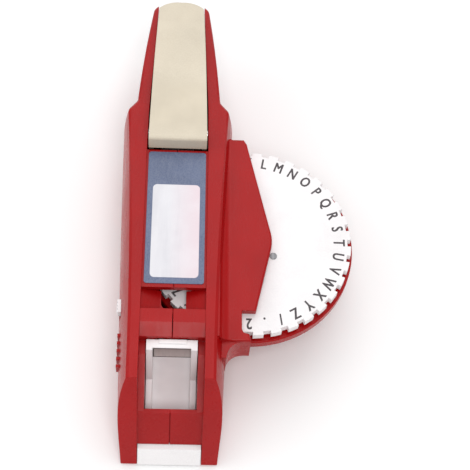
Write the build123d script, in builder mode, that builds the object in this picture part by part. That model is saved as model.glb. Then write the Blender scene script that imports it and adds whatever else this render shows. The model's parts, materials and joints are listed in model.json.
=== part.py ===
from build123d import *
import os
from math import cos, radians, sin

# Hand-held embossing label maker: two casing halves, a character dial under a side hood,
# a squeeze lever in the handle and a tape cradle in the nose. Millimetres, +Z up.
# X = 0 is the joint plane of the casing halves, Y = 0 is the embossing station and the
# dial's axis line, Z = 0 is the flat base. The handle end is +Y, the tape end is -Y.

os.makedirs("parts", exist_ok=True)

# Casing
BODY_TOP = 37.0
WALL = 2.4
FLOOR = 2.2
NOSE_Y = -80.0
FRONT_BOTTOM_Y = -76.5
FRONT_TOP_Y = -57.2
SHOULDER_Y = 50.8
NECK_Y = 55.0
GRIP_Y = 84.0
TIP_Y = 101.0
CHANNEL_HALF = 11.4
CAVITY_FRONT_Y = -39.0
CAVITY_BACK_Y = 50.3
CAVITY_TOP = 34.0
PLATE_TOP = 36.2
PLATE_BACK_Y = 33.4
PLATE_FRONT_Y = -23.1
BRIDGE_TOP = 36.6
BRIDGE_BACK_Y = -31.4
BRIDGE_SLOPE_Y = -36.4
BAY_BACK_Y = -41.0
SCREW_PLACES = ((-30.0, 5.4), (14.0, 5.4), (53.6, 6.5))
SCREW_HEAD_X = -14.0
SEAM_HALF = 0.14
SEAM_DEPTH = 0.5
FRONT_RECESS = 1.6
FRONT_INNER = 3.3

# Dial and its hood
DIAL_X = 26.9
CHARACTERS = 36
UPPER_DIAL_R = 37.6
LOWER_DIAL_R = 38.6
LOWER_DIAL_Z = 20.7
LOWER_DIAL_TOP = 24.8
UPPER_DIAL_Z = 26.2
UPPER_DIAL_TOP = 29.2
HUB_R = 7.5
FLANGE_R = 14.0
AXLE_R = 2.5
RIVET_CIRCLE_R = 10.9
HOOD_TOP = 32.5
HOOD_BOTTOM = 18.0
SLOT_BOTTOM = 20.2
SLOT_TOP = 29.7
SLOT_HALF = 39.3
FRONT_FLARE = 6.0
REAR_FLARE = 3.0

# Squeeze lever and press
PIVOT_Y = 44.0
PIVOT_Z = 31.0
PIN_R = 2.0
LEVER_FRONT_Y = 33.9
LEVER_TOP = 43.4
RIVET_YS = (42.0, 46.0)
RIVET_Z = 36.6
CROSS_PIN_Y = 30.0
CROSS_PIN_Z = 13.0
BAR_HALF = 3.0
SPRING_Y = 80.0
SPRING_BOTTOM = 19.6
SPRING_TOP = 39.6

# Tape feed
TAPE_Z = 25.4
FEED_Y = -35.8
FEED_Z = 22.3
FEED_R = 2.9
PINCH_Z = 28.2
PINCH_R = 2.5
RATCHET_X = -9.5
RATCHET_R = 3.0
CHUTE_Y = 34.0
CHUTE_Z = 11.0
CHUTE_R = 13.5
CHUTE_GAP = 1.4
BLADE_Y = 49.2

# Width selector
SELECTOR_Y = -26.8
SELECTOR_Z = 26.0
SELECTOR_TRAVEL = 2.0

# Tape cradle
CRADLE_BACK_Y = -41.3
CRADLE_TOP = 32.3
CRADLE_HALF = 8.9
CRADLE_INNER = 6.7
LEDGE_BOTTOM = 13.0
LEDGE_TOP = 30.5


def save(builder, name):
    """Label a finished piece and write it as one STEP file."""
    builder.part.label = name
    export_step(builder.part, f"parts/{name}.step")


def side_profile(points):
    """Closed outline in the YZ plane, from (y, z) points."""
    with BuildSketch(Plane.YZ) as profile:
        with BuildLine():
            Polyline(*points, close=True)
        make_face()
    return profile.sketch


def cross_plane(x):
    """Plane across the body at one X, its local axes along Y and Z."""
    return Plane.YZ.offset(x)


def front_y(height):
    """Y of the sloping front face at one height."""
    return FRONT_BOTTOM_Y + (FRONT_TOP_Y - FRONT_BOTTOM_Y) * height / BODY_TOP


# ---- Casing ----------------------------------------------------------------------------

# Height, then half widths at the nose, dial axis, shoulder, neck, grip and tip
CASING_LEVELS = (
    (0.0, 17.0, 18.8, 19.6, 14.6, 12.2, 9.6),
    (9.0, 17.3, 19.7, 20.7, 15.8, 13.2, 10.6),
    (24.0, 17.4, 19.8, 20.9, 16.3, 13.6, 11.2),
    (BODY_TOP, 15.1, 16.2, 18.9, 15.6, 12.8, 10.4),
)
CAVITY_LEVELS = (
    (FLOOR, 16.6, 18.8, 19.8, 15.0, 12.6, 10.0),
    (9.0, 17.3, 19.7, 20.7, 15.8, 13.2, 10.6),
    (24.0, 17.4, 19.8, 20.9, 16.3, 13.6, 11.2),
    (CAVITY_TOP, 15.7, 17.0, 19.3, 15.7, 13.0, 10.6),
)


def casing_plan(level, inset=0.0):
    """Plan of the casing at one level, its sides drawn in by inset."""
    height = level[0]
    nose, middle, shoulder, neck, grip, tip = (half - inset for half in level[1:])
    with BuildSketch(Plane.XY.offset(height)) as plan:
        with BuildLine():
            ThreePointArc((nose, NOSE_Y), (middle, 0), (shoulder, SHOULDER_Y))
            Line((shoulder, SHOULDER_Y), (neck, NECK_Y))
            ThreePointArc((neck, NECK_Y), (grip, GRIP_Y), (tip, TIP_Y))
            Line((tip, TIP_Y), (0, TIP_Y))
            Line((0, TIP_Y), (0, NOSE_Y))
            Line((0, NOSE_Y), (nose, NOSE_Y))
        make_face()
        mirror(about=Plane.YZ)
        for corner_y, radius in ((SHOULDER_Y, 2.5), (NECK_Y, 2.0), (TIP_Y, 4.0)):
            fillet(plan.vertices().filter_by_position(Axis.Y, corner_y - 0.1, corner_y + 0.1), radius)
    return plan.sketch


# The hollow inside both halves
with BuildPart() as cavity:
    loft([casing_plan(level, inset=WALL) for level in CAVITY_LEVELS])
    with Locations((0, (CAVITY_FRONT_Y + CAVITY_BACK_Y) / 2, 18)):
        Box(60, CAVITY_BACK_Y - CAVITY_FRONT_Y, 60, mode=Mode.INTERSECT)

# The lever's channel: open above, with a sloping floor, and a fork at the tip
with BuildPart() as lever_channel:
    with BuildSketch():
        with BuildLine():
            Polyline((0, PLATE_BACK_Y), (CHANNEL_HALF, PLATE_BACK_Y), (11.2, 52), (9.7, 82),
                     (9.0, TIP_Y + 1), (0, TIP_Y + 1), close=True)
        make_face()
        mirror(about=Plane.YZ)
    extrude(amount=45)
    channel_side = (
        (PLATE_BACK_Y, 33.0),
        (PLATE_BACK_Y, 45.0),
        (TIP_Y + 1, 45.0),
        (TIP_Y + 1, 5.0),
        (89.0, 5.0),
        (89.0, 20.4),
        (66.0, 17.4),
        (50.0, 15.8),
        (50.0, 33.0),
    )
    extrude(side_profile(channel_side), amount=20, both=True, mode=Mode.INTERSECT)

# The casing as one block, cut into halves further down
CUT_UP = (Align.CENTER, Align.MAX, Align.MIN)
with BuildPart() as casing:
    loft([casing_plan(level) for level in CASING_LEVELS])
    casing_side = (
        (FRONT_BOTTOM_Y, 0),
        (58.5, 0),
        (60.3, 12.5),
        (65.0, 14.8),
        (97.0, 18.8),
        (TIP_Y, 22.5),
        (TIP_Y, BODY_TOP),
        (FRONT_TOP_Y, BODY_TOP),
    )
    extrude(side_profile(casing_side), amount=40, both=True, mode=Mode.INTERSECT)
    level_faces = casing.faces().filter_by(Axis.Z).sort_by(Axis.Z)
    chamfer(level_faces[0].edges(), 1.1)
    level_faces = casing.faces().filter_by(Axis.Z).sort_by(Axis.Z)
    chamfer(level_faces[-1].edges().sort_by(Axis.Y)[1:], 0.7)
    add(cavity.part, mode=Mode.SUBTRACT)
    add(lever_channel.part, mode=Mode.SUBTRACT)

    # Seat of the label plate, the open recess in front of it, and the bridge beyond
    with Locations((0, PLATE_BACK_Y, PLATE_TOP)):
        Box(2 * CHANNEL_HALF, PLATE_BACK_Y - PLATE_FRONT_Y, 5, align=CUT_UP, mode=Mode.SUBTRACT)
    with Locations((0, PLATE_FRONT_Y, CAVITY_TOP - 1)):
        Box(2 * CHANNEL_HALF, PLATE_FRONT_Y - BRIDGE_BACK_Y, 8, align=CUT_UP, mode=Mode.SUBTRACT)
    with Locations((0, BRIDGE_BACK_Y, BRIDGE_TOP)):
        Box(2 * CHANNEL_HALF, BRIDGE_BACK_Y - NOSE_Y, 5, align=CUT_UP, mode=Mode.SUBTRACT)

    bridge_slope = (
        (BRIDGE_SLOPE_Y, BRIDGE_TOP),
        (BRIDGE_SLOPE_Y, BODY_TOP + 1),
        (BAY_BACK_Y - 1, BODY_TOP + 1),
        (BAY_BACK_Y - 1, 33.6),
    )
    extrude(side_profile(bridge_slope), amount=CHANNEL_HALF, both=True, mode=Mode.SUBTRACT)

    # Open bay of the tape cradle, with a lower bridge left across the sloping front
    with Locations((0, BAY_BACK_Y, -1)):
        Box(2 * CHANNEL_HALF, BAY_BACK_Y - NOSE_Y, 50, align=CUT_UP, mode=Mode.SUBTRACT)
    bridge_side = (
        (front_y(7.8) + FRONT_RECESS, 7.8),
        (front_y(20.7) + FRONT_RECESS, 20.7),
        (front_y(20.7) + FRONT_INNER, 20.7),
        (front_y(7.8) + FRONT_INNER, 7.8),
    )
    extrude(side_profile(bridge_side), amount=CHANNEL_HALF + 0.5, both=True)
    # Ledges down both sides of the bay, just clear of the cradle
    ledge_side = (
        (BAY_BACK_Y + 0.5, LEDGE_BOTTOM),
        (BAY_BACK_Y + 0.5, LEDGE_TOP),
        (-46.0, LEDGE_TOP),
        (front_y(20.7) + 2.4, 20.7),
        (front_y(LEDGE_BOTTOM) + 2.4, LEDGE_BOTTOM),
    )
    for side in (-1, 1):
        with BuildSketch(cross_plane(side * (CRADLE_HALF + 0.25))):
            with BuildLine():
                Polyline(*ledge_side, close=True)
            make_face()
        extrude(amount=side * (CHANNEL_HALF - CRADLE_HALF + 0.2))
    with Locations((0, BAY_BACK_Y + 1, 28.0)):
        Box(12, 6, 9, mode=Mode.SUBTRACT)

    # Two plates slope down into the recess
    with BuildSketch(Plane.XZ.offset(-PLATE_FRONT_Y - 0.6)) as trough:
        with BuildLine():
            Polyline((0, 30.3), (4.6, 30.3), (12.6, 33.2), (12.6, 35.0), (11.4, 34.3), (4.6, 31.8),
                     (0, 31.8), close=True)
        make_face()
        mirror(about=Plane.YZ)
    extrude(amount=PLATE_FRONT_Y + 0.6 - BRIDGE_BACK_Y + 1.6)
    with Locations((0, BRIDGE_BACK_Y, 30.3)):
        Box(2 * CHANNEL_HALF + 2, 1.6, 4.4, align=CUT_UP)

    # Bosses for the lever's pin, posts for the casing screws, and the tape's way out below
    for side in (-1, 1):
        with BuildSketch(cross_plane(side * 11.2)):
            with Locations((PIVOT_Y, PIVOT_Z)):
                Circle(4.0)
        extrude(amount=side * 6.0)
        with BuildSketch(cross_plane(side * 11.0)):
            with Locations((PIVOT_Y, PIVOT_Z)):
                Circle(PIN_R + 0.03)
        extrude(amount=side * 4.6, mode=Mode.SUBTRACT)
    for post_y, post_z in SCREW_PLACES:
        with BuildSketch(cross_plane(-17.0)):
            with Locations((post_y, post_z)):
                Circle(3.6)
        extrude(amount=34.0)
    with Locations((0, CHUTE_Y + CHUTE_R + CHUTE_GAP / 2, 0)):
        Box(10.6, CHUTE_GAP + 0.4, 8, mode=Mode.SUBTRACT)
    with Locations((0, BLADE_Y, 0)):
        Box(14.6, 6.6, 1.2, align=(Align.CENTER, Align.MIN, Align.MIN), mode=Mode.SUBTRACT)
        with Locations((-4.5, 4.0, 0), (4.5, 4.0, 0)):
            Cylinder(0.85, 4.2, align=(Align.CENTER, Align.CENTER, Align.MIN), mode=Mode.SUBTRACT)

# The sight hole in the recess, one corner rounded
with BuildPart() as sight_hole:
    with BuildSketch(Plane.XY.offset(28)) as hole_outline:
        with Locations((0.1, -26.15)):
            Rectangle(8.8, 7.3)
        fillet(hole_outline.vertices().sort_by(Axis.Y)[:2].sort_by(Axis.X)[0], 2.6)
    extrude(amount=5)

# Bores for the casing screws, counterbored from the left
with BuildPart() as screw_bores:
    for post_y, post_z in SCREW_PLACES:
        for start, length, radius in ((SCREW_HEAD_X, 24.4, 1.55), (SCREW_HEAD_X - 10, 10.0, 3.0)):
            with BuildSketch(cross_plane(start)):
                with Locations((post_y, post_z)):
                    Circle(radius)
            extrude(amount=length)

# The slot cut through the right wall and the hood for the two discs
with BuildPart() as disc_slot:
    with Locations((8.0, 0, SLOT_BOTTOM)):
        Box(40, 2 * SLOT_HALF, SLOT_TOP - SLOT_BOTTOM, align=(Align.MIN, Align.CENTER, Align.MIN))

# The dial's hood, open along its outer edge
with BuildPart() as hood:
    with BuildSketch(Plane.XY.offset(HOOD_BOTTOM)):
        with BuildLine():
            Polyline((15.2, 41.5), (25.0, 41.5), (26.1, 39.6), (34.5, 3.3))
            ThreePointArc((34.5, 3.3), (35.2, -1.2), (34.6, -5.7))
            Polyline((34.6, -5.7), (27.1, -39.0), (27.4, -41.2), (15.2, -41.2), (15.2, 41.5))
        make_face()
    extrude(amount=HOOD_TOP - HOOD_BOTTOM)
    fillet(hood.faces().sort_by(Axis.Z)[-1].edges().sort_by(Axis.X)[1:], 0.9)
    fillet(hood.faces().sort_by(Axis.Z)[0].edges().sort_by(Axis.X)[1:], 1.2)
    # Hollow corners where the hood meets the body: along its top, and at its front and rear
    with BuildSketch(Plane.XZ.offset(41.0)):
        with BuildLine():
            Line((15.4, HOOD_TOP - 1), (20.6, HOOD_TOP - 1))
            Line((20.6, HOOD_TOP - 1), (20.6, HOOD_TOP))
            RadiusArc((20.6, HOOD_TOP), (16.3, 36.2), 4.2)
            Line((16.3, 36.2), (15.4, 36.2))
            Line((15.4, 36.2), (15.4, HOOD_TOP - 1))
        make_face()
    extrude(amount=-82.2)
    with BuildSketch(Plane.XY.offset(HOOD_BOTTOM + 0.8)):
        for sign, flare, near_y in ((-1, FRONT_FLARE, -41.2), (1, REAR_FLARE, 41.5)):
            with BuildLine():
                Line((16.0, near_y - sign), (18.9 + flare, near_y - sign))
                Line((18.9 + flare, near_y - sign), (18.9 + flare, near_y))
                RadiusArc((18.9 + flare, near_y), (18.9, near_y + sign * flare), sign * flare)
                Line((18.9, near_y + sign * flare), (16.0, near_y + sign * flare))
                Line((16.0, near_y + sign * flare), (16.0, near_y - sign))
            make_face()
    extrude(amount=12.6)
    add(disc_slot.part, mode=Mode.SUBTRACT)
    with BuildSketch(Plane.XY.offset(SLOT_TOP - 1)):
        with BuildLine():
            Polyline((32.0, -29.6), (24.2, -29.6), (24.2, -36.7), (24.7, -37.9), (28.5, -39.3),
                     (32.0, -39.3), close=True)
        make_face()
    extrude(amount=5, mode=Mode.SUBTRACT)

with BuildPart() as half_casing:
    add(casing.part)
    split(bisect_by=Plane.YZ, keep=Keep.TOP)
    # Fine groove where the two halves meet on the bridges, the label plate and the base
    for low_y, high_y, low_z, high_z in (
        (BAY_BACK_Y - 1, BRIDGE_BACK_Y + 1, 33.2, BODY_TOP),
        (PLATE_FRONT_Y - 1, PLATE_BACK_Y + 1, PLATE_TOP - SEAM_DEPTH, BODY_TOP),
        (BAY_BACK_Y, NECK_Y, -1.0, SEAM_DEPTH),
    ):
        with Locations((0, (low_y + high_y) / 2, (low_z + high_z) / 2)):
            Box(2 * SEAM_HALF, high_y - low_y, high_z - low_z, mode=Mode.SUBTRACT)
    seam_side = (
        (front_y(5.0) - 3, 5.0),
        (front_y(22.0) - 3, 22.0),
        (front_y(22.0) + FRONT_RECESS + SEAM_DEPTH, 22.0),
        (front_y(5.0) + FRONT_RECESS + SEAM_DEPTH, 5.0),
    )
    extrude(side_profile(seam_side), amount=SEAM_HALF, both=True, mode=Mode.SUBTRACT)

with BuildPart() as left_shell:
    mirror(half_casing.part, about=Plane.YZ)
    for rib in range(5):
        with Locations((-18.6, -37.4 - 2.9 * rib, 24.0)):
            Box(1.4, 1.1, 4.4)
    with Locations((-18.0, SELECTOR_Y - SELECTOR_TRAVEL / 2, SELECTOR_Z)):
        Box(8, 5.2 + SELECTOR_TRAVEL, 4.0, mode=Mode.SUBTRACT)
    add(sight_hole.part, mode=Mode.SUBTRACT)
    add(screw_bores.part, mode=Mode.SUBTRACT)
save(left_shell, "left_shell")

with BuildPart() as right_shell:
    add(half_casing.part)
    add(hood.part)
    add(disc_slot.part, mode=Mode.SUBTRACT)
    add(sight_hole.part, mode=Mode.SUBTRACT)
    add(screw_bores.part, mode=Mode.SUBTRACT)
    with Locations((DIAL_X, 0, HOOD_BOTTOM - 1)):
        Cylinder(AXLE_R + 0.03, HOOD_TOP - HOOD_BOTTOM - 0.5, align=(Align.CENTER, Align.CENTER, Align.MIN),
                 mode=Mode.SUBTRACT)
save(right_shell, "right_shell")

# ---- Fixed pieces ----------------------------------------------------------------------

# One self-tapping screw per post, driven in from the left
with BuildPart() as casing_screws:
    for post_y, post_z in SCREW_PLACES:
        with BuildSketch(cross_plane(SCREW_HEAD_X)):
            with Locations((post_y, post_z)):
                Circle(1.5)
        extrude(amount=23.8)
        with BuildSketch(cross_plane(SCREW_HEAD_X - 2.0)):
            with Locations((post_y, post_z)):
                Circle(2.7)
        extrude(amount=2.0)
        with Locations((SCREW_HEAD_X - 2.0, post_y, post_z)):
            Box(1.6, 3.4, 0.8, mode=Mode.SUBTRACT)
            Box(1.6, 0.8, 3.4, mode=Mode.SUBTRACT)
save(casing_screws, "casing_screws")

# Raised sticker on the label plate
with BuildPart() as face_label:
    with BuildSketch(Plane.XY.offset(PLATE_TOP)):
        with Locations((0, 5.35)):
            RectangleRounded(21.2, 54.1, 1.0)
    extrude(amount=0.3)
save(face_label, "face_label")

# Block under the label plate that the discs are squeezed against
with BuildPart() as anvil:
    with Locations((0, 0, SLOT_TOP)):
        Box(12, 14, CAVITY_TOP - SLOT_TOP, align=(Align.CENTER, Align.CENTER, Align.MIN))
    chamfer(anvil.faces().sort_by(Axis.Z)[0].edges(), 0.8)
save(anvil, "anvil")

with BuildPart() as dial_axle:
    with Locations((DIAL_X, 0, HOOD_BOTTOM - 1.2)):
        Cylinder(4.5, 1.2, align=(Align.CENTER, Align.CENTER, Align.MIN))
        Cylinder(AXLE_R, 14.0, align=(Align.CENTER, Align.CENTER, Align.MIN))
    chamfer(dial_axle.faces().sort_by(Axis.Z)[0].edges(), 0.4)
save(dial_axle, "dial_axle")

# Leaf spring at the rear of the hood whose nose clicks into the dial's notches
with BuildPart() as detent_spring:
    with BuildSketch(Plane.XY.offset(UPPER_DIAL_Z)):
        with BuildLine():
            Polyline((15.8, 39.25), (15.8, 38.85), (18.6, 38.85), (20.3, 37.3), (22.0, 38.85),
                     (25.4, 38.85), (25.4, 39.25), (21.8, 39.25), (20.3, 37.8), (18.8, 39.25), close=True)
        make_face()
    extrude(amount=UPPER_DIAL_TOP - UPPER_DIAL_Z)
save(detent_spring, "detent_spring")

with BuildPart() as lever_pin:
    with BuildSketch(cross_plane(-15.4)):
        with Locations((PIVOT_Y, PIVOT_Z)):
            Circle(PIN_R)
    extrude(amount=30.8)
save(lever_pin, "lever_pin")

# Cheeks that keep the press bar upright
with BuildPart() as press_guide:
    with Locations((0, -5, FLOOR)):
        Box(10.4, 22, 1.6, align=(Align.CENTER, Align.CENTER, Align.MIN))
        for side in (-1, 1):
            with Locations((side * (BAR_HALF + 1.15), 0, 0)):
                Box(2.1, 22, 14.4, align=(Align.CENTER, Align.CENTER, Align.MIN))
save(press_guide, "press_guide")

# Bracket that carries the feed and pinch rollers
with BuildPart() as feed_frame:
    with BuildSketch(Plane.XY.offset(17.0)):
        with Locations((0, -35.8)):
            Rectangle(13.8, 4.4)
    extrude(amount=1.2)
    for side in (-1, 1):
        with Locations((side * 6.4, -35.8, 17.0)):
            Box(1.0, 4.4, 14.4, align=(Align.CENTER, Align.CENTER, Align.MIN))
    for bore_z, bore_r in ((FEED_Z, 1.55), (PINCH_Z, 1.03)):
        with BuildSketch(cross_plane(-8)):
            with Locations((FEED_Y, bore_z)):
                Circle(bore_r)
        extrude(amount=16, mode=Mode.SUBTRACT)
save(feed_frame, "feed_frame")

with BuildPart() as pinch_axle:
    with BuildSketch(cross_plane(-7.4)):
        with Locations((FEED_Y, PINCH_Z)):
            Circle(1.0)
    extrude(amount=14.8)
save(pinch_axle, "pinch_axle")

# Chute that turns the embossed tape down through the base
with BuildPart() as rear_tape_guide:
    for inner_r in (CHUTE_R - 1.2, CHUTE_R + CHUTE_GAP):
        with BuildSketch(cross_plane(-6.3)):
            with BuildLine():
                CenterArc((CHUTE_Y, CHUTE_Z), inner_r, 0, 90)
                Line((CHUTE_Y, CHUTE_Z + inner_r), (CHUTE_Y, CHUTE_Z + inner_r + 1.2))
                CenterArc((CHUTE_Y, CHUTE_Z), inner_r + 1.2, 0, 90)
                Line((CHUTE_Y + inner_r + 1.2, CHUTE_Z), (CHUTE_Y + inner_r, CHUTE_Z))
            make_face()
        extrude(amount=12.6)
        with Locations((0, CHUTE_Y + inner_r, FLOOR)):
            Box(12.6, 1.2, CHUTE_Z - FLOOR, align=(Align.CENTER, Align.MIN, Align.MIN))
    for side_x in (-6.3, 5.5):
        with BuildSketch(cross_plane(side_x)):
            with BuildLine():
                CenterArc((CHUTE_Y, CHUTE_Z), CHUTE_R - 0.6, 0, 90)
                Line((CHUTE_Y, CHUTE_Z + CHUTE_R - 0.6), (CHUTE_Y, CHUTE_Z + CHUTE_R + CHUTE_GAP + 0.6))
                CenterArc((CHUTE_Y, CHUTE_Z), CHUTE_R + CHUTE_GAP + 0.6, 0, 90)
                Line((CHUTE_Y + CHUTE_R + CHUTE_GAP + 0.6, CHUTE_Z), (CHUTE_Y + CHUTE_R - 0.6, CHUTE_Z))
            make_face()
        extrude(amount=0.8)
        with Locations((side_x, CHUTE_Y + CHUTE_R - 0.6, FLOOR)):
            Box(0.8, CHUTE_GAP + 1.2, CHUTE_Z - FLOOR, align=(Align.MIN, Align.MIN, Align.MIN))
save(rear_tape_guide, "rear_tape_guide")

# Toothed tear-off blade in its pocket under the base
with BuildPart() as cutter_blade:
    with BuildSketch(Plane.XY.offset(0.4)):
        with BuildLine():
            teeth = [(-6.6 + 1.2 * step, BLADE_Y + (0.2 if step % 2 == 0 else 0.9)) for step in range(12)]
            Polyline(*teeth, (6.6, BLADE_Y + 6.0), (-6.6, BLADE_Y + 6.0), close=True)
        make_face()
        with Locations((-4.5, BLADE_Y + 4.0), (4.5, BLADE_Y + 4.0)):
            Circle(0.9, mode=Mode.SUBTRACT)
    extrude(amount=0.8)
save(cutter_blade, "cutter_blade")

with BuildPart() as blade_screws:
    with Locations((-4.5, BLADE_Y + 4.0, 0), (4.5, BLADE_Y + 4.0, 0)):
        Cylinder(1.5, 0.4, align=(Align.CENTER, Align.CENTER, Align.MIN))
        Cylinder(0.8, 4.0, align=(Align.CENTER, Align.CENTER, Align.MIN))
        Box(2.2, 0.4, 0.3, align=(Align.CENTER, Align.CENTER, Align.MIN), mode=Mode.SUBTRACT)
save(blade_screws, "blade_screws")

# ---- Dial ------------------------------------------------------------------------------

# Upper disc: a finger notch at each character
with BuildPart() as upper_dial:
    with BuildSketch(Plane.XY.offset(UPPER_DIAL_Z)):
        with Locations((DIAL_X, 0)):
            Circle(UPPER_DIAL_R)
            with PolarLocations(UPPER_DIAL_R, CHARACTERS):
                Rectangle(2.6, 2.7, mode=Mode.SUBTRACT)
            Circle(HUB_R + 0.02, mode=Mode.SUBTRACT)
            with PolarLocations(RIVET_CIRCLE_R, 3, start_angle=-35):
                Circle(0.85, mode=Mode.SUBTRACT)
    extrude(amount=UPPER_DIAL_TOP - UPPER_DIAL_Z)
save(upper_dial, "upper_dial")

# Lower disc: a groove below for the punch, and a small raised die for each character
with BuildPart() as lower_dial:
    with BuildSketch(Plane.XY.offset(LOWER_DIAL_Z)):
        with Locations((DIAL_X, 0)):
            Circle(LOWER_DIAL_R)
            Circle(HUB_R + 0.02, mode=Mode.SUBTRACT)
            with PolarLocations(RIVET_CIRCLE_R, 3, start_angle=-35):
                Circle(0.85, mode=Mode.SUBTRACT)
    extrude(amount=LOWER_DIAL_TOP - LOWER_DIAL_Z)
    chamfer(lower_dial.edges().filter_by(GeomType.CIRCLE).sort_by(SortBy.RADIUS)[-2:], 0.4)
    with BuildSketch(Plane.XY.offset(LOWER_DIAL_Z)):
        with Locations((DIAL_X, 0)):
            Circle(30.0)
            Circle(24.0, mode=Mode.SUBTRACT)
    extrude(amount=2.7, mode=Mode.SUBTRACT)
    with BuildSketch(Plane.XY.offset(LOWER_DIAL_TOP)):
        with Locations((DIAL_X, 0)):
            with PolarLocations(DIAL_X, CHARACTERS):
                Rectangle(3.0, 1.8)
    extrude(amount=0.4)
save(lower_dial, "lower_dial")

# Hub with the flange that keeps the discs apart
with BuildPart() as dial_hub:
    with Locations((DIAL_X, 0, SLOT_BOTTOM + 0.1)):
        Cylinder(HUB_R, SLOT_TOP - SLOT_BOTTOM - 0.2, align=(Align.CENTER, Align.CENTER, Align.MIN))
    with BuildSketch(Plane.XY.offset(LOWER_DIAL_TOP)):
        with Locations((DIAL_X, 0)):
            Circle(FLANGE_R)
            with PolarLocations(RIVET_CIRCLE_R, 3, start_angle=-35):
                Circle(0.85, mode=Mode.SUBTRACT)
    extrude(amount=UPPER_DIAL_Z - LOWER_DIAL_TOP)
    with Locations((DIAL_X, 0, 25)):
        Cylinder(AXLE_R + 0.06, 20, mode=Mode.SUBTRACT)
save(dial_hub, "dial_hub")

# Three rivets through both discs and the flange
with BuildPart() as dial_rivets:
    with Locations((DIAL_X, 0, 0)):
        with PolarLocations(RIVET_CIRCLE_R, 3, start_angle=-35):
            with Locations((0, 0, LOWER_DIAL_Z - 0.3)):
                Cylinder(1.3, 0.3, align=(Align.CENTER, Align.CENTER, Align.MIN))
                Cylinder(0.8, UPPER_DIAL_TOP - LOWER_DIAL_Z + 0.6,
                         align=(Align.CENTER, Align.CENTER, Align.MIN))
            with Locations((0, 0, UPPER_DIAL_TOP)):
                Cylinder(1.3, 0.3, align=(Align.CENTER, Align.CENTER, Align.MIN))
save(dial_rivets, "dial_rivets")

# ---- Squeeze lever ---------------------------------------------------------------------


def lever_plan(inset):
    """Right half of the lever's plan, drawn in by inset, mirrored about X = 0."""
    with BuildSketch() as plan:
        with BuildLine():
            side_top = (10.8 - inset, LEVER_FRONT_Y + inset)
            side_end = (8.7 - inset, 95.6 - inset)
            Line((0, LEVER_FRONT_Y + inset), side_top)
            ThreePointArc(side_top, (9.9 - inset, 68), side_end)
            ThreePointArc(side_end, (5.6 - inset, 97.9 - inset), (0, 98.8 - inset))
            Line((0, 98.8 - inset), (0, LEVER_FRONT_Y + inset))
        make_face()
        mirror(about=Plane.YZ)
    return plan.sketch


# The hollow inside the lever
with BuildPart() as lever_cavity:
    extrude(lever_plan(1.8), amount=50)
    lever_hollow = (
        (LEVER_FRONT_Y + 1.8, 25.0),
        (LEVER_FRONT_Y + 1.8, LEVER_TOP - 2.2),
        (72.0, LEVER_TOP - 2.3),
        (88.0, LEVER_TOP - 3.0),
        (99.0, LEVER_TOP - 4.4),
        (99.0, 25.0),
    )
    extrude(side_profile(lever_hollow), amount=20, both=True, mode=Mode.INTERSECT)

with BuildPart() as trigger_lever:
    extrude(lever_plan(0), amount=50)
    lever_side = (
        (LEVER_FRONT_Y, 36.8),
        (LEVER_FRONT_Y, LEVER_TOP),
        (72.0, LEVER_TOP - 0.1),
        (88.0, LEVER_TOP - 0.8),
        (99.0, LEVER_TOP - 2.2),
        (99.0, 34.0),
        (92.0, 31.5),
        (37.0, PIVOT_Z),
        (37.0, 36.8),
    )
    extrude(side_profile(lever_side), amount=20, both=True, mode=Mode.INTERSECT)
    fillet(trigger_lever.edges().filter_by(Axis.X).sort_by(Axis.Z)[-1], 1.3)
    add(lever_cavity.part, mode=Mode.SUBTRACT)
    for side in (-1, 1):
        with BuildSketch(cross_plane(side * 8.7)):
            with Locations((PIVOT_Y, PIVOT_Z)):
                Circle(4.0)
        extrude(amount=side * 1.9)
        with BuildSketch(cross_plane(side * 8.0)):
            with Locations(*((rivet_y, RIVET_Z) for rivet_y in RIVET_YS)):
                Circle(0.83)
        extrude(amount=side * 1.6, mode=Mode.SUBTRACT)
    with BuildSketch(cross_plane(-15)):
        with Locations((PIVOT_Y, PIVOT_Z)):
            Circle(PIN_R + 0.06)
    extrude(amount=30, mode=Mode.SUBTRACT)
    with Locations((0, SPRING_Y, SPRING_TOP)):
        Cylinder(2.6, 1.5, align=(Align.CENTER, Align.CENTER, Align.MIN))
save(trigger_lever, "trigger_lever")

# Two pressed steel arms inside the lever that carry the cross pin
with BuildPart() as lever_arms:
    for side in (-1, 1):
        with BuildSketch(cross_plane(side * 6.7)) as arm:
            with BuildLine():
                Polyline((40.5, 38.5), (47.5, 38.5), (47.5, 14.5), (43.5, 10.2), (29.0, 10.2), (27.2, 12.0),
                         (27.2, 14.4), (28.8, 16.0), (38.0, 16.0), (40.5, 19.0), close=True)
            make_face()
            with Locations((PIVOT_Y, PIVOT_Z)):
                Circle(PIN_R + 0.06, mode=Mode.SUBTRACT)
            with Locations((CROSS_PIN_Y, CROSS_PIN_Z)):
                Circle(1.53, mode=Mode.SUBTRACT)
            with Locations(*((rivet_y, RIVET_Z) for rivet_y in RIVET_YS)):
                Circle(0.83, mode=Mode.SUBTRACT)
        extrude(amount=side * 1.8)
save(lever_arms, "lever_arms")

with BuildPart() as arm_rivets:
    for side in (-1, 1):
        for rivet_y in RIVET_YS:
            with BuildSketch(cross_plane(side * 5.9)):
                with Locations((rivet_y, RIVET_Z)):
                    Circle(1.4)
            extrude(amount=side * 0.8)
            with BuildSketch(cross_plane(side * 6.7)):
                with Locations((rivet_y, RIVET_Z)):
                    Circle(0.8)
            extrude(amount=side * 2.6)
save(arm_rivets, "arm_rivets")

with BuildPart() as cross_pin:
    with BuildSketch(cross_plane(-8.9)):
        with Locations((CROSS_PIN_Y, CROSS_PIN_Z)):
            Circle(1.5)
    extrude(amount=17.8)
save(cross_pin, "cross_pin")

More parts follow.
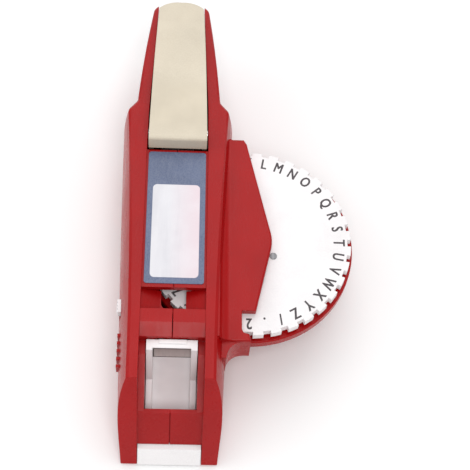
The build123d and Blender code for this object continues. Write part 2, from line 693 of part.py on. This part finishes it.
# Return spring between the handle's floor and the lever
with BuildPart() as lever_spring:
    spring_turns = 6
    spring_r = 3.5
    wire_r = 0.4
    rise = SPRING_TOP - SPRING_BOTTOM - 2 * wire_r
    with BuildLine() as coil:
        Helix(pitch=rise / spring_turns, height=rise, radius=spring_r,
              center=(0, SPRING_Y, SPRING_BOTTOM + wire_r))
    with BuildSketch(Plane(origin=coil.line @ 0, z_dir=coil.line % 0)):
        Circle(wire_r)
    sweep(is_frenet=True)
save(lever_spring, "lever_spring")

# ---- Press -----------------------------------------------------------------------------

with BuildPart() as press_bar:
    with BuildSketch(cross_plane(-BAR_HALF)):
        with BuildLine():
            Polyline((-28.5, 10.2), (33.6, 10.2), (33.6, 16.8), (25.0, 16.8), (22.0, 15.0), (-28.5, 15.0),
                     close=True)
        make_face()
        with Locations((28.5, CROSS_PIN_Z)):
            SlotOverall(6.6, 3.3, mode=Mode.SUBTRACT)
    extrude(amount=2 * BAR_HALF)
save(press_bar, "press_bar")

with BuildPart() as punch:
    with BuildSketch(Plane.XY.offset(15.0)):
        Rectangle(5.4, 7.0)
    extrude(amount=2.6)
    with BuildSketch(Plane.XY.offset(17.6)):
        Rectangle(3.4, 4.6)
    extrude(amount=2.6)
    chamfer(punch.faces().sort_by(Axis.Z)[-1].edges(), 0.5)
save(punch, "punch")

# Pawl on the front of the press bar that steps the ratchet wheel
with BuildPart() as feed_pawl:
    with Locations((-3.0, -28.7, 11.0)):
        Box(8.0, 2.0, 3.4, align=(Align.MAX, Align.CENTER, Align.MIN))
    with BuildSketch(cross_plane(RATCHET_X - 1.5)):
        with BuildLine():
            Polyline((-29.7, 11.0), (-27.7, 11.0), (-29.0, 19.0), (-32.3, 20.9), (-31.2, 18.0), close=True)
        make_face()
    extrude(amount=3.0)
save(feed_pawl, "feed_pawl")

# ---- Tape feed -------------------------------------------------------------------------

with BuildPart() as feed_axle:
    with BuildSketch(cross_plane(-12.2)):
        with Locations((FEED_Y, FEED_Z)):
            Circle(1.5)
    extrude(amount=20.2)
save(feed_axle, "feed_axle")

with BuildPart() as ratchet_wheel:
    with BuildSketch(cross_plane(RATCHET_X - 1.5)) as wheel:
        with BuildLine():
            points = []
            for tooth in range(10):
                start = radians(36 * tooth)
                points.append((FEED_Y + RATCHET_R * cos(start), FEED_Z + RATCHET_R * sin(start)))
                points.append((FEED_Y + 2.4 * cos(start), FEED_Z + 2.4 * sin(start)))
            Polyline(*points, close=True)
        make_face()
        with Locations((FEED_Y, FEED_Z)):
            Circle(1.52, mode=Mode.SUBTRACT)
    extrude(amount=3.0)
save(ratchet_wheel, "ratchet_wheel")

with BuildPart() as feed_roller:
    with BuildSketch(cross_plane(-5.3)):
        with Locations((FEED_Y, FEED_Z)):
            Circle(FEED_R)
            with PolarLocations(FEED_R, 18):
                Circle(0.22, mode=Mode.SUBTRACT)
            Circle(1.52, mode=Mode.SUBTRACT)
    extrude(amount=10.6)
save(feed_roller, "feed_roller")

with BuildPart() as pinch_roller:
    with BuildSketch(cross_plane(-5.2)):
        with Locations((FEED_Y, PINCH_Z)):
            Circle(PINCH_R)
            Circle(1.05, mode=Mode.SUBTRACT)
    extrude(amount=10.4)
save(pinch_roller, "pinch_roller")

# ---- Width selector --------------------------------------------------------------------

with BuildPart() as width_selector:
    with Locations((-20.0, SELECTOR_Y, SELECTOR_Z)):
        Box(5.2, 5.0, 3.6, align=(Align.MIN, Align.CENTER, Align.CENTER))
    chamfer(width_selector.faces().sort_by(Axis.X)[0].edges(), 0.4)
    for groove in (-1.3, 0.0, 1.3):
        with Locations((-20.0, SELECTOR_Y + groove, SELECTOR_Z)):
            Box(0.8, 0.5, 4.0, mode=Mode.SUBTRACT)
    with Locations((-15.0, SELECTOR_Y, SELECTOR_Z)):
        Box(0.8, 11.0, 5.8, align=(Align.MIN, Align.CENTER, Align.CENTER))
save(width_selector, "width_selector")

# Stepped edge guide that the selector moves along the tape
with BuildPart() as tape_fence:
    with BuildSketch(Plane.XY.offset(TAPE_Z - 0.9)):
        with BuildLine():
            Polyline((-14.2, SELECTOR_Y - 2.6), (-6.2, SELECTOR_Y - 2.6), (-6.2, SELECTOR_Y - 0.4),
                     (-5.0, SELECTOR_Y + 0.4), (-5.0, SELECTOR_Y + 2.6), (-14.2, SELECTOR_Y + 2.6), close=True)
        make_face()
    extrude(amount=1.6)
save(tape_fence, "tape_fence")

# ---- Tape cradle -----------------------------------------------------------------------

with BuildPart() as tape_tray:
    # Curved seat for the roll, with its back wall and the toe under the lower bridge
    with BuildSketch(Plane.YZ) as seat:
        with BuildLine():
            Line((CRADLE_BACK_Y, 0.6), (CRADLE_BACK_Y, CRADLE_TOP))
            Line((CRADLE_BACK_Y, CRADLE_TOP), (CRADLE_BACK_Y - 3.1, CRADLE_TOP))
            Line((CRADLE_BACK_Y - 3.1, CRADLE_TOP), (CRADLE_BACK_Y - 3.1, 24.0))
            ThreePointArc((CRADLE_BACK_Y - 3.1, 24.0), (-51.0, 13.2), (-64.5, 8.6))
            Line((-64.5, 8.6), (-68.0, 7.4))
            Line((-68.0, 7.4), (front_y(7.4), 7.4))
            Line((front_y(7.4), 7.4), (front_y(0.6), 0.6))
            Line((front_y(0.6), 0.6), (CRADLE_BACK_Y, 0.6))
        make_face()
    extrude(amount=CRADLE_INNER, both=True)
    # Side walls, lower towards the nose, then the outer lugs
    wall_side = (
        (CRADLE_BACK_Y, 0.6),
        (CRADLE_BACK_Y, CRADLE_TOP),
        (-45.2, CRADLE_TOP),
        (-50.0, 16.5),
        (-64.2, 9.6),
        (-67.6, 7.4),
        (front_y(7.4), 7.4),
        (front_y(0.6), 0.6),
    )
    for side in (-1, 1):
        with BuildSketch(cross_plane(side * CRADLE_INNER)):
            with BuildLine():
                Polyline(*wall_side, close=True)
            make_face()
        extrude(amount=side * (CRADLE_HALF - CRADLE_INNER))
        with BuildSketch(cross_plane(side * CRADLE_HALF)):
            with BuildLine():
                Polyline((-48.0, 0.6), (-48.0, 12.5), (-55.5, 12.5), (-55.5, 0.6), close=True)
            make_face()
        extrude(amount=side * 1.2)
    # Toe band, as wide as the bay and flush with the sloping front
    toe_side = (
        (-70.0, 0.6),
        (-70.0, 7.4),
        (front_y(7.4), 7.4),
        (front_y(0.6), 0.6),
    )
    extrude(side_profile(toe_side), amount=CHANNEL_HALF - 0.2, both=True)
    # Tape window in the back wall, split by the tear tab, and the dark slit below it
    with Locations((0.3, CRADLE_BACK_Y, 25.5)):
        Box(13.2, 8, 5.4, align=(Align.CENTER, Align.CENTER, Align.MIN), mode=Mode.SUBTRACT)
    with Locations((0.3, CRADLE_BACK_Y - 0.8, 26.6)):
        Box(9.6, 1.6, 6.0, align=(Align.CENTER, Align.CENTER, Align.MIN))
    # Lightening pocket under the seat
    pocket_side = (
        (CRADLE_BACK_Y - 2.4, 0),
        (CRADLE_BACK_Y - 2.4, 16.0),
        (-51.0, 9.5),
        (-64.0, 5.0),
        (-64.0, 0),
    )
    extrude(side_profile(pocket_side), amount=CRADLE_INNER - 0.6, both=True, mode=Mode.SUBTRACT)
save(tape_tray, "tape_tray")
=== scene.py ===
import json
import math

import bmesh
import bpy
from mathutils import Matrix, Vector


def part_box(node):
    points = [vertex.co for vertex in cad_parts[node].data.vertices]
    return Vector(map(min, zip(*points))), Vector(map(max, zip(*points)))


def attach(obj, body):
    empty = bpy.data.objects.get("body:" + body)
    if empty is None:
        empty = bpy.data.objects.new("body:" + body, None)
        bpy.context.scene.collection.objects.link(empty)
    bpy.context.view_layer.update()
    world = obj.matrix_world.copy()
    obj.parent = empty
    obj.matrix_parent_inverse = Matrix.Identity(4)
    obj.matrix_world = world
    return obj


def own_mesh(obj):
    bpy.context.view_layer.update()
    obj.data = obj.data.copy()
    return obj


# Hand-held embossing label maker on a pale floor. Metres, in the CAD frame:
# +Z up from the base, +Y towards the handle, +X towards the dial.

MM = 0.001

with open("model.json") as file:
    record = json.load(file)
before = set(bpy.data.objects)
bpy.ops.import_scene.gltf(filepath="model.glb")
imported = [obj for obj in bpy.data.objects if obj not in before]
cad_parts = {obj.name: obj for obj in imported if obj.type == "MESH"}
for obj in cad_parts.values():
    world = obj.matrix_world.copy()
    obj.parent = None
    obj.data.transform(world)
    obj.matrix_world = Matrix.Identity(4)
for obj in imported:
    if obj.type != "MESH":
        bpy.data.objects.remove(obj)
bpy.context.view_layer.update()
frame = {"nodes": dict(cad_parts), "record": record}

# ---- Shader helpers --------------------------------------------------------------------


class Shader:
    """A new material with its Principled shader, and short ways to add nodes to it."""

    def __init__(self, name, roughness=0.4, metallic=0.0, specular=0.5):
        self.material = bpy.data.materials.new(name)
        self.material.use_nodes = True
        self.tree = self.material.node_tree
        self.surface = self.tree.nodes["Principled BSDF"]
        self.surface.inputs["Roughness"].default_value = roughness
        self.surface.inputs["Metallic"].default_value = metallic
        self.surface.inputs["Specular IOR Level"].default_value = specular
        self.place = self.tree.nodes.new("ShaderNodeTexCoord").outputs["Object"]

    def node(self, kind, **values):
        made = self.tree.nodes.new(kind)
        for key, value in values.items():
            setattr(made, key, value)
        return made

    def link(self, start, end):
        self.tree.links.new(start, end)

    def noise(self, scale, detail=4.0, roughness=0.55, stretch=(1, 1, 1)):
        """Noise over the object's own coordinates; scale is in features per metre."""
        mapping = self.node("ShaderNodeMapping")
        mapping.inputs["Scale"].default_value = stretch
        self.link(self.place, mapping.inputs["Vector"])
        texture = self.node("ShaderNodeTexNoise")
        texture.inputs["Scale"].default_value = scale
        texture.inputs["Detail"].default_value = detail
        texture.inputs["Roughness"].default_value = roughness
        self.link(mapping.outputs["Vector"], texture.inputs["Vector"])
        return texture.outputs["Fac"]

    def ramp(self, source, low, high, start, end):
        """A value that runs from start to end while source runs from low to high."""
        scaled = self.node("ShaderNodeMapRange")
        limits = {"From Min": low, "From Max": high, "To Min": start, "To Max": end}
        for label, value in limits.items():
            scaled.inputs[label].default_value = value
        self.link(source, scaled.inputs["Value"])
        return scaled.outputs["Result"]

    def mix(self, factor, first, second, blend_type="MIX"):
        """Colour first towards second by factor; each is a socket or a colour."""
        mixed = self.node("ShaderNodeMix", data_type="RGBA", blend_type=blend_type)
        for label, value in ((6, first), (7, second)):
            if isinstance(value, tuple):
                mixed.inputs[label].default_value = (*value, 1)
            else:
                self.link(value, mixed.inputs[label])
        if isinstance(factor, float):
            mixed.inputs[0].default_value = factor
        else:
            self.link(factor, mixed.inputs[0])
        return mixed.outputs[2]

    def colour(self, source):
        self.link(source, self.surface.inputs["Base Color"])

    def rough(self, source):
        self.link(source, self.surface.inputs["Roughness"])

    def edges(self, low=0.56, high=0.68):
        """1 on convex edges, 0 on flats and in corners."""
        geometry = self.node("ShaderNodeNewGeometry")
        return self.ramp(geometry.outputs["Pointiness"], low, high, 0.0, 1.0)

    def relief(self, layers, radius=0.25 * MM):
        """Bump layers of (source, height in metres) over softly rounded edges."""
        normal = self.node("ShaderNodeBevel", samples=6)
        normal.inputs["Radius"].default_value = radius
        last = normal.outputs["Normal"]
        for source, height in layers:
            bump = self.node("ShaderNodeBump")
            bump.inputs["Strength"].default_value = 1.0
            bump.inputs["Distance"].default_value = height
            self.link(source, bump.inputs["Height"])
            self.link(last, bump.inputs["Normal"])
            last = bump.outputs["Normal"]
        self.link(last, self.surface.inputs["Normal"])


def moulded_plastic(name, base, worn, dusty, roughness, grain, dirt=0.25, specular=0.35):
    """Moulded plastic: flow mottling, fine spark texture (grain mm high), worn edges and dusty smears."""
    shader = Shader(name, roughness=roughness, specular=specular)
    cloud = shader.noise(55, 3)
    speck = shader.noise(1900, 2, 0.7)
    smear = shader.noise(240, 5, 0.65, (1, 0.25, 1))
    tone = shader.mix(shader.ramp(cloud, 0.3, 0.7, 0.0, 1.0), base, tuple(0.86 * c for c in base))
    tone = shader.mix(shader.ramp(smear, 0.55, 0.85, 0.0, dirt), tone, dusty)
    chipped = shader.node("ShaderNodeMath", operation="MULTIPLY")
    shader.link(shader.edges(), chipped.inputs[0])
    shader.link(shader.ramp(speck, 0.35, 0.65, 0.15, 0.75), chipped.inputs[1])
    shader.colour(shader.mix(chipped.outputs["Value"], tone, worn))
    shader.rough(shader.ramp(smear, 0.3, 0.75, roughness - 0.06, roughness + 0.12))
    shader.relief(((cloud, 0.10 * MM), (speck, grain * MM)))
    return shader.material


def worked_metal(name, base, roughness, stretch, streak=1400):
    """Rolled or ground metal: fine streaks along one way, a cloudy oxide tone, brighter edges."""
    shader = Shader(name, roughness=roughness, metallic=1.0)
    lines = shader.noise(streak, 3, 0.6, stretch)
    cloud = shader.noise(160, 4)
    tone = shader.mix(shader.ramp(lines, 0.3, 0.7, 0.0, 0.6), base, tuple(0.72 * c for c in base))
    tone = shader.mix(shader.ramp(cloud, 0.5, 0.8, 0.0, 0.35), tone, tuple(0.6 * c for c in base))
    shader.colour(shader.mix(shader.edges(), tone, tuple(min(1.0, 1.25 * c) for c in base)))
    shader.rough(shader.ramp(lines, 0.3, 0.7, roughness - 0.08, roughness + 0.14))
    shader.relief(((lines, 0.012 * MM),))
    return shader.material


def roller_rubber():
    """Soft black rubber, dusty in patches."""
    shader = Shader("roller_rubber", roughness=0.75, specular=0.3)
    cloud = shader.noise(300, 5)
    speck = shader.noise(2600, 2)
    dust = shader.ramp(cloud, 0.45, 0.75, 0.0, 0.5)
    shader.colour(shader.mix(dust, (0.016, 0.016, 0.017), (0.07, 0.066, 0.06)))
    shader.rough(shader.ramp(cloud, 0.3, 0.7, 0.62, 0.85))
    shader.relief(((speck, 0.02 * MM),))
    return shader.material


def printed_film(name, base, other, roughness=0.3):
    """Printed film: a halftone-fine mottle, faint handling scratches and a soft gloss."""
    shader = Shader(name, roughness=roughness)
    cloud = shader.noise(120, 4)
    fibre = shader.noise(900, 4, 0.6, (1, 0.15, 1))
    dots = shader.node("ShaderNodeTexVoronoi", feature="F1")
    dots.inputs["Scale"].default_value = 2600
    shader.link(shader.place, dots.inputs["Vector"])
    tone = shader.mix(shader.ramp(cloud, 0.35, 0.7, 0.0, 1.0), base, other)
    tone = shader.mix(shader.ramp(dots.outputs["Distance"], 0.2, 0.6, 0.0, 0.10), tone, (0.7, 0.72, 0.80))
    shader.colour(tone)
    shader.rough(shader.ramp(fibre, 0.35, 0.7, roughness - 0.05, roughness + 0.18))
    shader.relief(((cloud, 0.05 * MM), (fibre, 0.006 * MM)), radius=0.1 * MM)
    return shader.material


def dial_ink():
    """Dark grey print, slightly thin in places."""
    shader = Shader("dial_ink", roughness=0.5)
    wear = shader.noise(700, 5)
    thin = shader.ramp(wear, 0.5, 0.8, 0.0, 0.5)
    shader.colour(shader.mix(thin, (0.055, 0.045, 0.05), (0.20, 0.18, 0.185)))
    shader.relief(((wear, 0.01 * MM),), radius=0.05 * MM)
    return shader.material


# ---- Materials -------------------------------------------------------------------------

# Linear colours
RED = (0.375, 0.0022, 0.0030)
RED_WORN = (0.48, 0.022, 0.025)
RED_DUSTY = (0.40, 0.008, 0.010)
CREAM = (0.66, 0.585, 0.46)
CREAM_WORN = (0.74, 0.67, 0.55)
CREAM_DUSTY = (0.58, 0.50, 0.38)
WHITE = (0.89, 0.86, 0.875)
WHITE_WORN = (0.93, 0.92, 0.90)
WHITE_DUSTY = (0.74, 0.71, 0.69)
# The cradle's white is brighter than the other white plastic: painted light against the shade in its recess
TRAY_WHITE_PAINTED_LIGHT = (0.94, 0.91, 0.915)
TRAY_WORN_PAINTED_LIGHT = (0.95, 0.93, 0.93)
TRAY_DUSTY_PAINTED_LIGHT = (0.84, 0.80, 0.79)
GREY = (0.11, 0.11, 0.115)
GREY_WORN = (0.24, 0.24, 0.25)
GREY_DUSTY = (0.17, 0.16, 0.15)
FILM_BLUE = (0.055, 0.083, 0.172)
FILM_BLUE_PALE = (0.076, 0.108, 0.21)
ZINC = (0.24, 0.24, 0.25)
GROUND_STEEL = (0.72, 0.72, 0.73)
SPRING_STEEL = (0.36, 0.36, 0.38)

MATERIALS = {
    "casing_plastic": moulded_plastic("casing_plastic", RED, RED_WORN, RED_DUSTY, 0.27, 0.006, 0.30, 0.22),
    "cream_plastic": moulded_plastic("cream_plastic", CREAM, CREAM_WORN, CREAM_DUSTY, 0.36, 0.004),
    "white_plastic": moulded_plastic("white_plastic", WHITE, WHITE_WORN, WHITE_DUSTY, 0.34, 0.003, 0.14),
    "grey_plastic": moulded_plastic("grey_plastic", GREY, GREY_WORN, GREY_DUSTY, 0.5, 0.02),
    "label_film": printed_film("label_film", FILM_BLUE, FILM_BLUE_PALE),
    "roller_rubber": roller_rubber(),
    "zinc_steel": worked_metal("zinc_steel", ZINC, 0.42, (1, 0.06, 1)),
    "bright_steel": worked_metal("bright_steel", GROUND_STEEL, 0.20, (1, 1, 0.08)),
    "spring_steel": worked_metal("spring_steel", SPRING_STEEL, 0.30, (1, 1, 1)),
}
TRAY_PLASTIC_PAINTED_LIGHT = moulded_plastic("tray_plastic_painted_light", TRAY_WHITE_PAINTED_LIGHT, TRAY_WORN_PAINTED_LIGHT, TRAY_DUSTY_PAINTED_LIGHT, 0.38, 0.006, 0.16)

# Each CAD node gets its slot's plastic, film, rubber or metal; the cradle gets a brighter white plastic of
# its own, painted light against the shade in its recess
node_slot = {part["node"]: part["material_slot"] for part in frame["record"]["subparts"]}
for node_name, node_object in frame["nodes"].items():
    node_object.data.materials.clear()
    material = TRAY_PLASTIC_PAINTED_LIGHT if node_name == "tape_tray" else MATERIALS[node_slot[node_name]]
    node_object.data.materials.append(material)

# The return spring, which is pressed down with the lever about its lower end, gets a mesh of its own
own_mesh(frame["nodes"]["lever_spring"])

# ---- Piece helpers ---------------------------------------------------------------------


def piece_from(name, build, material, body):
    """A new mesh piece from a bmesh-filling function, riding on a CAD body."""
    mesh = bpy.data.meshes.new(name)
    shape = bmesh.new()
    build(shape)
    bmesh.ops.recalc_face_normals(shape, faces=shape.faces)
    shape.to_mesh(mesh)
    shape.free()
    mesh.materials.append(material)
    piece = bpy.data.objects.new(name, mesh)
    bpy.context.collection.objects.link(piece)
    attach(piece, body)
    return piece


def rounded_outline(low, high, radius, steps=6):
    """Points round a rectangle with round corners, anticlockwise, in the XY plane."""
    centres = ((high[0], high[1], 0), (low[0], high[1], 90), (low[0], low[1], 180), (high[0], low[1], 270))
    points = []
    for x, y, start in centres:
        centre_x = x - math.copysign(radius, x - (low[0] + high[0]) / 2)
        centre_y = y - math.copysign(radius, y - (low[1] + high[1]) / 2)
        for step in range(steps + 1):
            angle = math.radians(start + 90 * step / steps)
            points.append((centre_x + radius * math.cos(angle), centre_y + radius * math.sin(angle)))
    return points


def slab(shape, outline, bottom, top):
    """A flat closed solid over an outline."""
    lower = [shape.verts.new((x, y, bottom)) for x, y in outline]
    upper = [shape.verts.new((x, y, top)) for x, y in outline]
    shape.faces.new(lower[::-1])
    shape.faces.new(upper)
    for index in range(len(outline)):
        after = (index + 1) % len(outline)
        shape.faces.new((lower[index], lower[after], upper[after], upper[index]))


# ---- Dial characters -------------------------------------------------------------------

DIAL_CHARACTERS = "TUVWXYZ/.23456789ABCDEFGHIJKLMNOPQRS"
LETTER_RADIUS = 33.0 * MM
LETTER_SIZE = 5.9 * MM
LETTER_NARROW = 0.74
INK = 0.04 * MM
INK_STEP = 0.003 * MM
STROKE_SHIFT_X = 0.13 * MM
STROKE_SHIFT_Y = 0.08 * MM

dial_low, dial_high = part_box("upper_dial")
dial_centre = (dial_low + dial_high) / 2


def letter_mesh(character):
    """One character as a thin solid, centred on the origin."""
    curve = bpy.data.curves.new("letter", "FONT")
    curve.body = character
    curve.size = LETTER_SIZE
    curve.align_x = "CENTER"
    curve.align_y = "CENTER"
    curve.extrude = INK / 2
    curve.resolution_u = 3
    holder = bpy.data.objects.new("letter", curve)
    bpy.context.collection.objects.link(holder)
    bpy.context.view_layer.update()
    graph = bpy.context.evaluated_depsgraph_get()
    mesh = bpy.data.meshes.new_from_object(holder.evaluated_get(graph))
    bpy.data.objects.remove(holder)
    return mesh


def add_characters(shape):
    """All the dial's characters, tops outward, one every ten degrees clockwise."""
    for index, character in enumerate(DIAL_CHARACTERS):
        angle = -2 * math.pi * index / len(DIAL_CHARACTERS)
        outward = Vector((math.cos(angle), math.sin(angle), 0))
        spot = Vector((dial_centre.x, 0, dial_high.z)) + LETTER_RADIUS * outward
        turn = Matrix.Rotation(angle - math.pi / 2, 4, "Z")
        narrow = Matrix.Diagonal((LETTER_NARROW, 1, 1, 1))
        # Four copies, shifted a little and each a hair higher, make the strokes bold
        corners = ((-1, -1), (1, -1), (-1, 1), (1, 1))
        for layer, (side_x, side_y) in enumerate(corners):
            shift = Matrix.Translation((side_x * STROKE_SHIFT_X, side_y * STROKE_SHIFT_Y, layer * INK_STEP))
            mesh = letter_mesh(character)
            mesh.transform(Matrix.Translation(spot) @ turn @ shift @ narrow)
            shape.from_mesh(mesh)
            bpy.data.meshes.remove(mesh)


piece_from("dial_characters", add_characters, dial_ink(), "dial")


# ---- Sticker on the label plate --------------------------------------------------------

label_low, label_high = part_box("face_label")
FILM = 0.03 * MM
WINDOW_CORNER = 1.6 * MM
WINDOW_SIDE = 2.0 * MM
WINDOW_FRONT = 2.3 * MM
WINDOW_BACK = 14.0 * MM
window_low = (label_low.x + WINDOW_SIDE, label_low.y + WINDOW_FRONT)
window_high = (label_high.x - WINDOW_SIDE, label_high.y - WINDOW_BACK)


def window_print():
    """Pale window of the sticker: lilac white, pink on the dial's side, soft grey bands along it."""
    shader = Shader("window_print", roughness=0.28)
    split = shader.node("ShaderNodeSeparateXYZ")
    shader.link(shader.place, split.inputs["Vector"])
    across = shader.ramp(split.outputs["X"], window_low[0], window_high[0], 0.0, 1.0)
    along = shader.noise(130, 4, 0.6, (1, 0.12, 1))
    cloud = shader.noise(90, 4)
    tone = shader.mix(shader.ramp(across, 0.35, 0.95, 0.0, 0.55), (0.70, 0.69, 0.725), (0.76, 0.55, 0.60))
    tone = shader.mix(shader.ramp(along, 0.5, 0.75, 0.0, 0.45), tone, (0.46, 0.45, 0.50))
    shader.colour(shader.mix(shader.ramp(cloud, 0.5, 0.8, 0.0, 0.4), tone, (0.80, 0.79, 0.82)))
    shader.relief(((cloud, 0.04 * MM),), radius=0.05 * MM)
    return shader.material


def add_window(shape):
    outline = rounded_outline(window_low, window_high, WINDOW_CORNER)
    slab(shape, outline, label_high.z, label_high.z + FILM)


piece_from("label_window", add_window, window_print(), "casing")


# ---- Slit in the cradle's back wall ----------------------------------------------------

# Thin dark strips of painted shadow and a panel with painted shade on the wall's front face, over the
# window in the CAD cradle
tray_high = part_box("tape_tray")[1]
BACK_WALL = 3.1 * MM
SLIT_CENTRE_X = 0.3 * MM
SLIT_HALF = 6.5 * MM
SLIT_BOTTOM = 24.2 * MM
SLIT_TOP = tray_high.z - 0.7 * MM
SLIT_SHADOW_WIDTH = 0.38 * MM
SLIT_PROUD = 0.10 * MM
SLIT_SUNK = 0.02 * MM
slit_face = tray_high.y - BACK_WALL
slit_left = SLIT_CENTRE_X - SLIT_HALF
slit_right = SLIT_CENTRE_X + SLIT_HALF


def slit_shadow():
    """Dark strips of painted shadow round the opening, lighter in dusty patches."""
    shader = Shader("slit_shadow", roughness=0.8, specular=0.2)
    cloud = shader.noise(400, 4)
    dust = shader.ramp(cloud, 0.3, 0.7, 0.0, 1.0)
    shader.colour(shader.mix(dust, (0.055, 0.040, 0.038), (0.12, 0.095, 0.09)))
    shader.relief(((cloud, 0.02 * MM),), radius=0.05 * MM)
    return shader.material


def slit_flap():
    """Pale panel that fills the opening, coloured darker towards its top to read as shade."""
    shader = Shader("slit_flap", roughness=0.5, specular=0.3)
    split = shader.node("ShaderNodeSeparateXYZ")
    shader.link(shader.place, split.inputs["Vector"])
    height = shader.ramp(split.outputs["Z"], SLIT_BOTTOM, SLIT_TOP, 0.0, 1.0)
    lines = shader.noise(700, 3, 0.6, (1, 1, 0.1))
    tone = shader.mix(height, (0.66, 0.60, 0.58), (0.36, 0.30, 0.29))
    shader.colour(shader.mix(shader.ramp(lines, 0.4, 0.8, 0.0, 0.35), tone, (0.28, 0.24, 0.23)))
    shader.relief(((lines, 0.01 * MM),), radius=0.05 * MM)
    return shader.material


def upright_slab(shape, left, right, bottom, top, proud):
    """A thin block standing on the back wall's front face."""
    corners = ((left, bottom), (right, bottom), (right, top), (left, top))
    near = [shape.verts.new((x, slit_face - proud, z)) for x, z in corners]
    far = [shape.verts.new((x, slit_face + SLIT_SUNK, z)) for x, z in corners]
    shape.faces.new(near)
    shape.faces.new(far[::-1])
    for index in range(len(corners)):
        after = (index + 1) % len(corners)
        shape.faces.new((near[index], far[index], far[after], near[after]))


def add_slit_shadow_strips(shape):
    """Four thin strips of painted shadow round the opening."""
    upright_slab(shape, slit_left - SLIT_SHADOW_WIDTH, slit_left, SLIT_BOTTOM, SLIT_TOP, SLIT_PROUD)
    upright_slab(shape, slit_right, slit_right + SLIT_SHADOW_WIDTH, SLIT_BOTTOM, SLIT_TOP, SLIT_PROUD)
    upright_slab(shape, slit_left, slit_right, SLIT_BOTTOM, SLIT_BOTTOM + SLIT_SHADOW_WIDTH, SLIT_PROUD)
    upright_slab(shape, slit_left, slit_right, SLIT_TOP - SLIT_SHADOW_WIDTH, SLIT_TOP, SLIT_PROUD)


def add_slit_flap(shape):
    """The panel inside the strips, half as proud as they are."""
    upright_slab(shape, slit_left, slit_right, SLIT_BOTTOM + SLIT_SHADOW_WIDTH, SLIT_TOP - SLIT_SHADOW_WIDTH, SLIT_PROUD / 2)


# The dark strips are painted shadow in the gaps round the flap
piece_from("slit_shadow_strips", add_slit_shadow_strips, slit_shadow(), "cradle")
piece_from("slit_flap", add_slit_flap, slit_flap(), "cradle")

# ---- Floor, lights, camera -------------------------------------------------------------

FLOOR_SIZE = 6.0
FLOOR_PALE = (0.96, 0.96, 0.96)
FLOOR_SHADE = (0.94, 0.94, 0.94)
WORLD_STRENGTH = 0.62


def floor_material():
    """Pale paper, very slightly uneven."""
    shader = Shader("floor_paper", roughness=0.9, specular=0.2)
    cloud = shader.noise(6, 4)
    shader.colour(shader.mix(shader.ramp(cloud, 0.3, 0.7, 0.0, 1.0), FLOOR_PALE, FLOOR_SHADE))
    return shader.material


bpy.ops.mesh.primitive_plane_add(size=FLOOR_SIZE, location=(0, 0, 0))
floor = bpy.context.object
floor.name = "floor"
floor.data.materials.append(floor_material())


def area_light(name, place, target, size, power):
    """A square soft box at place, aimed at target: metres and watts."""
    lamp = bpy.data.lights.new(name, "AREA")
    lamp.energy = power
    lamp.size = size
    holder = bpy.data.objects.new(name, lamp)
    holder.location = place
    holder.rotation_euler = (Vector(target) - Vector(place)).to_track_quat("-Z", "Y").to_euler()
    bpy.context.collection.objects.link(holder)


area_light("key_box", (0.10, 0.52, 0.80), (0.02, 0, 0.02), 0.80, 3.0)
area_light("fill_box", (-0.70, 0.05, 0.50), (0, 0, 0.02), 0.50, 0.8)
area_light("front_box", (0.06, -0.44, 0.86), (0, -0.03, 0.02), 0.45, 3.0)

world = bpy.data.worlds.new("studio")
world.use_nodes = True
world.node_tree.nodes["Background"].inputs["Color"].default_value = (1, 1, 1, 1)
world.node_tree.nodes["Background"].inputs["Strength"].default_value = WORLD_STRENGTH
bpy.context.scene.world = world
bpy.context.scene.view_settings.view_transform = "Standard"

CAMERA_PLACE = Vector((1.4, -204.3, 416.7)) * MM
CAMERA_RIGHT = Vector((0.9985, 0.0026, 0.0541))
CAMERA_UP = Vector((-0.0277, 0.8829, 0.4688))
CAMERA_BACK = -Vector((0.0465, 0.4696, -0.8817))
SENSOR_WIDTH = 36.0
LENS = 91.9
NEAREST = 0.01

camera = bpy.data.objects.new("camera", bpy.data.cameras.new("camera"))
camera_turn = Matrix((CAMERA_RIGHT, CAMERA_UP, CAMERA_BACK)).transposed()
camera.matrix_world = Matrix.Translation(CAMERA_PLACE) @ camera_turn.to_4x4()
camera.data.sensor_width = SENSOR_WIDTH
camera.data.lens = LENS
camera.data.clip_start = NEAREST
bpy.context.collection.objects.link(camera)
bpy.context.scene.camera = camera
